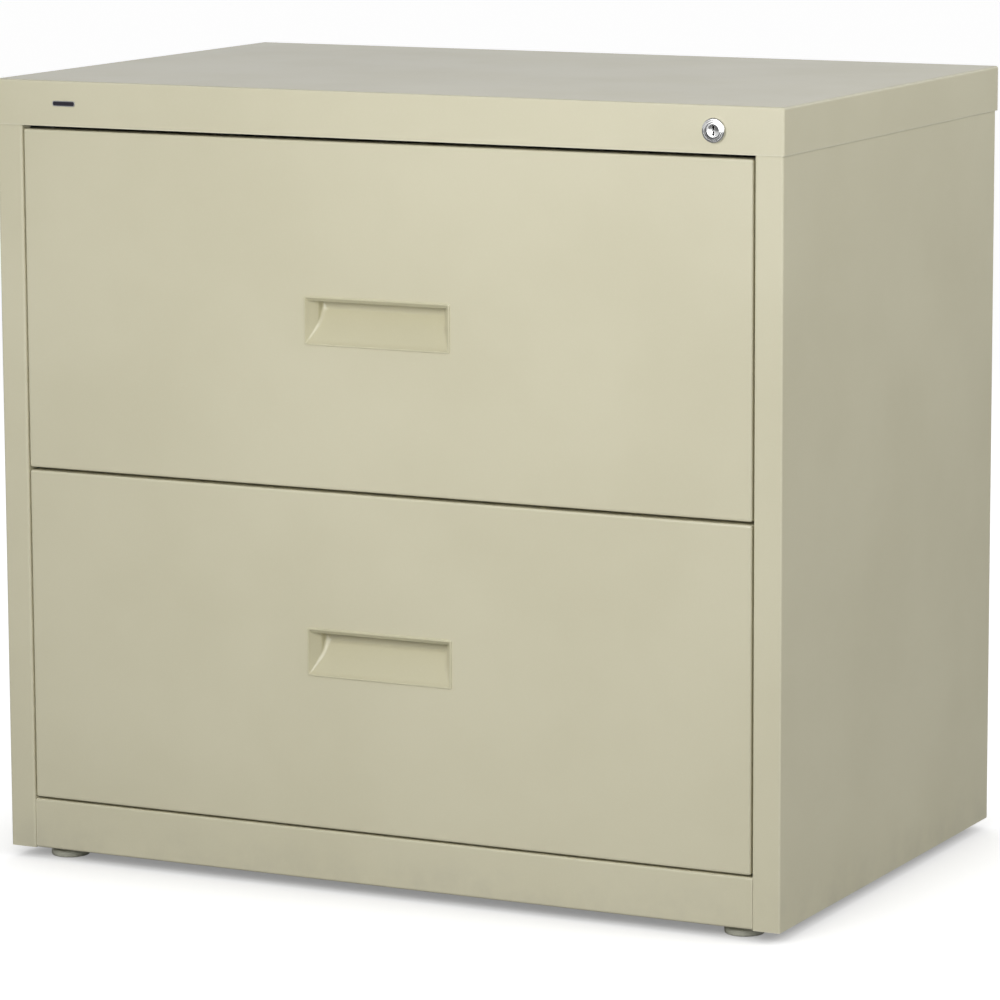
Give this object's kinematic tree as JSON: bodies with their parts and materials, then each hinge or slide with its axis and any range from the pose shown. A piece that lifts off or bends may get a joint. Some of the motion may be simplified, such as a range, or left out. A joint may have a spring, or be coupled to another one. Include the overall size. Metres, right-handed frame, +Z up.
{
  "type": "lateral filing cabinet",
  "caption": "Low lateral filing cabinet in folded steel: full-width drawers with recessed pulls on telescopic slides, a bar lock and levelling glides.",
  "frame": {"origin": "on the floor under the middle of the cabinet", "axes": "+Z up, drawers open towards -Y, +X to the right as seen from the front"},
  "size_m": [0.762, 0.4918, 0.7065],
  "materials": {
    "putty_powder_coat": "putty powder coat, fine satin texture",
    "inner_powder_coat": "putty powder coat on the inner sheet, thinner and duller",
    "zinc_plated_steel": "bright zinc plate",
    "chrome": "polished chrome",
    "black_steel": "black hot-rolled steel",
    "ivory_plastic": "moulded ivory plastic"
  },
  "bodies": {
    "root": {"left_side_panel": "putty_powder_coat", "right_side_panel": "putty_powder_coat", "back_panel": "putty_powder_coat", "top_cap": "putty_powder_coat", "base_front_rail": "putty_powder_coat", "bottom_pan": "zinc_plated_steel", "header_rail": "inner_powder_coat", "front_left_upright": "zinc_plated_steel", "front_right_upright": "zinc_plated_steel", "rear_left_upright": "zinc_plated_steel", "rear_right_upright": "zinc_plated_steel", "counterweight": "black_steel", "lock_housing": "chrome", "lock_nut": "zinc_plated_steel", "upper_bar_guide": "zinc_plated_steel", "lower_bar_guide": "zinc_plated_steel", "upper_left_case_member": "zinc_plated_steel", "upper_right_case_member": "zinc_plated_steel", "lower_left_case_member": "zinc_plated_steel", "lower_right_case_member": "zinc_plated_steel"},
    "upper_drawer": {"upper_drawer_front": "putty_powder_coat", "upper_pull": "putty_powder_coat", "upper_drawer_liner": "putty_powder_coat", "upper_drawer_body": "inner_powder_coat", "upper_drawer_back": "inner_powder_coat", "upper_front_hang_rail": "inner_powder_coat", "upper_rear_hang_rail": "inner_powder_coat", "upper_lock_catch": "zinc_plated_steel", "upper_left_drawer_member": "zinc_plated_steel", "upper_right_drawer_member": "zinc_plated_steel"},
    "upper_left_middle_member": {"upper_left_middle_member": "zinc_plated_steel"},
    "upper_left_outer_cage": {"upper_left_outer_cage": "zinc_plated_steel"},
    "upper_left_inner_cage": {"upper_left_inner_cage": "zinc_plated_steel"},
    "upper_right_middle_member": {"upper_right_middle_member": "zinc_plated_steel"},
    "upper_right_outer_cage": {"upper_right_outer_cage": "zinc_plated_steel"},
    "upper_right_inner_cage": {"upper_right_inner_cage": "zinc_plated_steel"},
    "lower_drawer": {"lower_drawer_front": "putty_powder_coat", "lower_pull": "putty_powder_coat", "lower_drawer_liner": "putty_powder_coat", "lower_drawer_body": "inner_powder_coat", "lower_drawer_back": "inner_powder_coat", "lower_front_hang_rail": "inner_powder_coat", "lower_rear_hang_rail": "inner_powder_coat", "lower_lock_catch": "zinc_plated_steel", "lower_left_drawer_member": "zinc_plated_steel", "lower_right_drawer_member": "zinc_plated_steel"},
    "lower_left_middle_member": {"lower_left_middle_member": "zinc_plated_steel"},
    "lower_left_outer_cage": {"lower_left_outer_cage": "zinc_plated_steel"},
    "lower_left_inner_cage": {"lower_left_inner_cage": "zinc_plated_steel"},
    "lower_right_middle_member": {"lower_right_middle_member": "zinc_plated_steel"},
    "lower_right_outer_cage": {"lower_right_outer_cage": "zinc_plated_steel"},
    "lower_right_inner_cage": {"lower_right_inner_cage": "zinc_plated_steel"},
    "lock_core": {"lock_plug": "chrome", "lock_cam": "zinc_plated_steel"},
    "lock_bar": {"lock_bar": "zinc_plated_steel"},
    "front_left_glide": {"front_left_glide": "ivory_plastic"},
    "front_right_glide": {"front_right_glide": "ivory_plastic"},
    "rear_left_glide": {"rear_left_glide": "ivory_plastic"},
    "rear_right_glide": {"rear_right_glide": "ivory_plastic"}
  },
  "joints": [
    {"name": "upper_drawer_slide", "type": "slide", "parent": "root", "child": "upper_drawer", "axis": [0, -1, 0], "range_m": [0, 0.385]},
    {"name": "upper_left_middle_member_slide", "type": "slide", "parent": "root", "child": "upper_left_middle_member", "axis": [0, -1, 0], "range_m": [0, 0.1925]},
    {"name": "upper_left_outer_cage_slide", "type": "slide", "parent": "root", "child": "upper_left_outer_cage", "axis": [0, -1, 0], "range_m": [0, 0.09625]},
    {"name": "upper_left_inner_cage_slide", "type": "slide", "parent": "root", "child": "upper_left_inner_cage", "axis": [0, -1, 0], "range_m": [0, 0.28875]},
    {"name": "upper_right_middle_member_slide", "type": "slide", "parent": "root", "child": "upper_right_middle_member", "axis": [0, -1, 0], "range_m": [0, 0.1925]},
    {"name": "upper_right_outer_cage_slide", "type": "slide", "parent": "root", "child": "upper_right_outer_cage", "axis": [0, -1, 0], "range_m": [0, 0.09625]},
    {"name": "upper_right_inner_cage_slide", "type": "slide", "parent": "root", "child": "upper_right_inner_cage", "axis": [0, -1, 0], "range_m": [0, 0.28875]},
    {"name": "lower_drawer_slide", "type": "slide", "parent": "root", "child": "lower_drawer", "axis": [0, -1, 0], "range_m": [0, 0.385]},
    {"name": "lower_left_middle_member_slide", "type": "slide", "parent": "root", "child": "lower_left_middle_member", "axis": [0, -1, 0], "range_m": [0, 0.1925]},
    {"name": "lower_left_outer_cage_slide", "type": "slide", "parent": "root", "child": "lower_left_outer_cage", "axis": [0, -1, 0], "range_m": [0, 0.09625]},
    {"name": "lower_left_inner_cage_slide", "type": "slide", "parent": "root", "child": "lower_left_inner_cage", "axis": [0, -1, 0], "range_m": [0, 0.28875]},
    {"name": "lower_right_middle_member_slide", "type": "slide", "parent": "root", "child": "lower_right_middle_member", "axis": [0, -1, 0], "range_m": [0, 0.1925]},
    {"name": "lower_right_outer_cage_slide", "type": "slide", "parent": "root", "child": "lower_right_outer_cage", "axis": [0, -1, 0], "range_m": [0, 0.09625]},
    {"name": "lower_right_inner_cage_slide", "type": "slide", "parent": "root", "child": "lower_right_inner_cage", "axis": [0, -1, 0], "range_m": [0, 0.28875]},
    {"name": "lock_turn", "type": "hinge", "parent": "root", "child": "lock_core", "pos_m": [0.318, -0.2445, 0.6856], "axis": [0, -1, 0], "range_deg": [0, 90]},
    {"name": "lock_bar_slide", "type": "slide", "parent": "root", "child": "lock_bar", "axis": [0, 0, 1], "range_m": [0, 0.01131]},
    {"name": "front_left_glide_screw", "type": "slide", "parent": "root", "child": "front_left_glide", "axis": [0, 0, -1], "range_m": [0, 0.015]},
    {"name": "front_right_glide_screw", "type": "slide", "parent": "root", "child": "front_right_glide", "axis": [0, 0, -1], "range_m": [0, 0.015]},
    {"name": "rear_left_glide_screw", "type": "slide", "parent": "root", "child": "rear_left_glide", "axis": [0, 0, -1], "range_m": [0, 0.015]},
    {"name": "rear_right_glide_screw", "type": "slide", "parent": "root", "child": "rear_right_glide", "axis": [0, 0, -1], "range_m": [0, 0.015]}
  ],
  "couplings": [
    {"joint": "upper_left_middle_member_slide", "follows": "upper_drawer_slide", "ratio": 0.5},
    {"joint": "upper_left_outer_cage_slide", "follows": "upper_drawer_slide", "ratio": 0.25},
    {"joint": "upper_left_inner_cage_slide", "follows": "upper_drawer_slide", "ratio": 0.75},
    {"joint": "upper_right_middle_member_slide", "follows": "upper_drawer_slide", "ratio": 0.5},
    {"joint": "upper_right_outer_cage_slide", "follows": "upper_drawer_slide", "ratio": 0.25},
    {"joint": "upper_right_inner_cage_slide", "follows": "upper_drawer_slide", "ratio": 0.75},
    {"joint": "lower_left_middle_member_slide", "follows": "lower_drawer_slide", "ratio": 0.5},
    {"joint": "lower_left_outer_cage_slide", "follows": "lower_drawer_slide", "ratio": 0.25},
    {"joint": "lower_left_inner_cage_slide", "follows": "lower_drawer_slide", "ratio": 0.75},
    {"joint": "lower_right_middle_member_slide", "follows": "lower_drawer_slide", "ratio": 0.5},
    {"joint": "lower_right_outer_cage_slide", "follows": "lower_drawer_slide", "ratio": 0.25},
    {"joint": "lower_right_inner_cage_slide", "follows": "lower_drawer_slide", "ratio": 0.75},
    {"joint": "lock_turn", "follows": "lock_bar_slide", "rad_per_m": 138.84}
  ]
}
